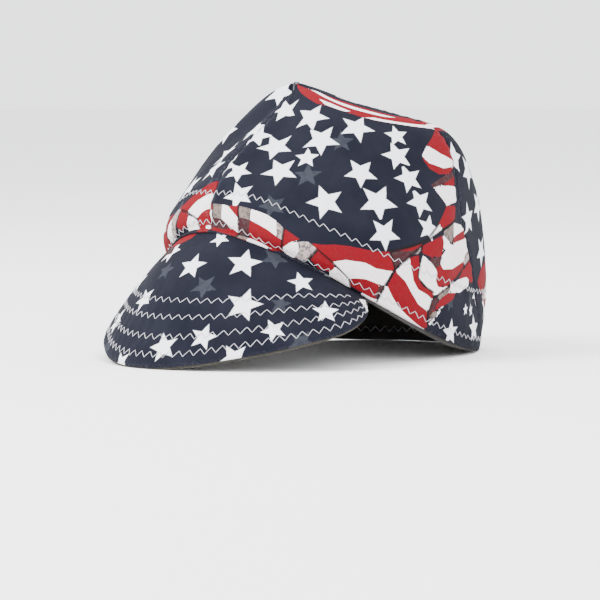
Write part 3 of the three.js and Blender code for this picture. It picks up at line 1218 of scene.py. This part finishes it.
def printedCloth(name, faded):
    look = clothLook
    shader = Shader(name)
    place = shader.place()
    grain = shader.noise(place, 900, 3.0, 0.6)
    patches = shader.noise(place, 42, 3.0)
    ink = shader.noise(place, 260, 3.0, 0.6)
    edgeWander = (shader.noise(place, 700, 2.0) - 0.5) * 0.5
    twill = weave(shader, look["twillPitch"])

    colour = shader.mix(shader.step(patches, 0.35, 0.75), look["navy"], look["navyWorn"])
    shadow = starMask(shader, "shadowSpot", edgeWander * 0.3)
    thin = shader.step(ink, 0.25, 0.62)
    colour = shader.mix(shadow * (thin * 0.45 + 0.5), colour, look["shadow"])
    star = starMask(shader, "starSpot", edgeWander * 0.08)
    ground = shader.mix(star * (shader.step(ink, 0.12, 0.3) * 0.12 + 0.86), colour, look["star"])

    edge, overBlotch, underBlotch = shader.parts("printEdge")
    layers = []
    for layer, blotch in (("printUnder", underBlotch), ("printOver", overBlotch)):
        tone = shader.attribute(layer)
        speckled = shader.step(shader.noise(place, 480, 4.0, 0.8), 0.46, 0.60) * blotch
        inked = shader.mix(speckled * 0.85, Wire(shader, tone.outputs["Color"]), look["blotch"])
        layers.append(shader.mix(Wire(shader, tone.outputs["Alpha"]), ground, inked))
    width = look["edgeWidth"]
    colour = shader.mix(shader.step(edge + edgeWander, -width, width), *layers)
    aside, past = shader.parts("foldLine")[:2]
    width = look["foldWidth"]
    line = 1 - shader.step(shader.math("ABSOLUTE", aside + edgeWander), width * 0.6, width * 1.7)
    line = line * (1 - shader.step(past, 0.1, 0.6))
    colour = shader.mix(line * 0.85, colour, look["fold"])

    worn = shader.parts("wear")[0]
    colour = shader.mix(worn * shader.step(grain, 0.4, 0.75) * 0.12, colour, look["rubbed"])
    if faded:
        colour = shader.mix(look["reverseShare"], colour, look["reverse"])
    colour = shader.shade(colour, twill * 0.05 + grain * 0.22 + 0.89)
    shader.set("Base Color", colour)
    shader.set("Roughness", look["roughness"])
    shader.set("Specular IOR Level", 0.12)
    height = twill * 0.5 + shader.noise(place, 1400, 2.0) * 1.2 + shader.noise(place, 160, 2.0) * 2.0
    shader.bump(height, 0.35, 0.00022)
    return shader.material


def plainCloth(name, colour, worn, pitch):
    # plain cloth: one colour with its weave, slubs and rubbed places
    shader = Shader(name)
    place = shader.place()
    grain = shader.noise(place, 1000, 3.0, 0.65)
    patches = shader.noise(place, 55, 3.0)
    twill = weave(shader, pitch)
    tone = shader.mix(shader.step(patches, 0.3, 0.75), colour, worn)
    shader.set("Base Color", shader.shade(tone, twill * 0.10 + grain * 0.45 + 0.75))
    shader.set("Roughness", 0.92)
    height = twill * 0.8 + shader.noise(place, 1300, 2.0) * 1.2
    shader.bump(height, 0.4, 0.00025)
    return shader.material


def threadMaterial(name, colour, soiled):
    # twisted thread: fine turns of shade, a little soiled in places
    shader = Shader(name)
    place = shader.place()
    twist = shader.noise(place, 2600, 1.0)
    tone = shader.mix(shader.step(shader.noise(place, 120, 2.0), 0.4, 0.75), colour, soiled)
    shader.set("Base Color", shader.shade(tone, twist * 0.5 + 0.75))
    shader.set("Roughness", 0.7)
    shader.bump(twist, 0.3, 0.0001)
    return shader.material


def paleFloor(name):
    shader = Shader(name)
    mottle = shader.noise(shader.place(), 9, 3.0)
    shader.set("Base Color", shader.mix(mottle, (0.92, 0.92, 0.92), (0.94, 0.94, 0.94)))
    shader.set("Roughness", 0.9)
    return shader.material


navyPrint = printedCloth("navyPrint", False)
printReverse = printedCloth("printReverse", True)
oliveCloth = plainCloth("oliveCloth", (0.030, 0.026, 0.019), (0.045, 0.040, 0.030), 0.7)
# The band's dark cloth: its tone is the band as seen in shade, so it is partly the cloth's own dark colour
# and partly painted shade.
shadedLiningCloth = plainCloth("shadedLiningCloth", (0.020, 0.018, 0.017), (0.032, 0.029, 0.027), 0.6)
whiteThread = threadMaterial("whiteThread", (0.47, 0.47, 0.51), (0.36, 0.355, 0.375))

bothFaces = [navyPrint, printReverse]
pieces = [
    (crownPanel("crownPanelLeftCloth", 0, bothFaces), "crown_panel_left", "crown_cloth"),
    (crownPanel("crownPanelBackCloth", 1, bothFaces), "crown_panel_back", "crown_cloth"),
    (crownPanel("crownPanelRightCloth", 2, bothFaces), "crown_panel_right", "crown_cloth"),
    (peakSheet("peakTopCloth", peakClothPoint, [navyPrint, oliveCloth], False, True),
     "peak_top", "peak_cloth"),
    (peakSheet("peakUndersideCloth", undersidePoint, [oliveCloth], True, False),
     "peak_underside", "underside_cloth"),
    (innerBand("innerBandCloth", [shadedLiningCloth]), "inner_band", "band_cloth"),
]
for piece, node, slotName in pieces:
    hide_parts(node)
    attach(piece, "root")
print("cloth made")

radius = stitching["threadRadius"]
crownRows = [roundRow(row, crownClothPoint) for row in stitchRows]
bandRows = [roundRow("lower", bandThread)]
threads = [
    (tube("crownStitching", crownRows, True, radius, whiteThread), "crown_cloth"),
    (tube("bandStitching", bandRows, True, radius, whiteThread), "band_cloth"),
    (tube("peakStitching", peakThreads(peakClothPoint), False, radius, whiteThread), "peak_cloth"),
    (tube("undersideStitching", peakThreads(undersidePoint), False, radius, whiteThread), "underside_cloth"),
]
for piece, slotName in threads:
    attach(piece, "root")
print("stitching made")

# Floor, light and camera
studio = {
    "floorSides": 96,
    "floorRadius": 14,
    "colour": (0.98, 0.99, 1.0, 1),
    "strength": 2.5,
    "aim": (0, 0, 0.07),
    "lights": [  # name, place, size, power
        ("keyLight", (-0.6, -1.6, 1.6), 1.1, 95),
        ("fillLight", (1.9, -0.9, 1.0), 1.4, 26),
        ("topLight", (0.2, 0.5, 2.0), 1.5, 34),
    ],
}
floorMesh = bmesh.new()
bmesh.ops.create_circle(floorMesh, cap_ends=True, segments=studio["floorSides"],
                        radius=studio["floorRadius"])
finishPiece("floor", floorMesh, [paleFloor("floorPaint")])

world = bpy.data.worlds.new("studio")
world.use_nodes = True
sky = world.node_tree.nodes["Background"].inputs
sky["Color"].default_value = studio["colour"]
sky["Strength"].default_value = studio["strength"]
bpy.context.scene.world = world


def areaLight(name, place, size, power):
    light = bpy.data.lights.new(name, "AREA")
    light.size = size
    light.energy = power
    lamp = newObject(name, light)
    lamp.location = place
    aim = Vector(studio["aim"]) - Vector(place)
    lamp.rotation_euler = aim.to_track_quat("-Z", "Y").to_euler()


for light in studio["lights"]:
    areaLight(*light)

view = {"azimuth": 46, "elevation": 4, "distance": 1.8, "target": (0.0, 0.0, 0.031), "lens": 191,
        "sensor": 36}
camera = bpy.data.cameras.new("camera")
camera.lens = view["lens"]
camera.sensor_width = view["sensor"]
eye = newObject("camera", camera)
azimuth, elevation = math.radians(view["azimuth"]), math.radians(view["elevation"])
level = math.cos(elevation)
direction = Vector((math.sin(azimuth) * level, -math.cos(azimuth) * level, math.sin(elevation)))
eye.location = Vector(view["target"]) + direction * view["distance"]
eye.rotation_euler = (-direction).to_track_quat("-Z", "Y").to_euler()
bpy.context.scene.camera = eye
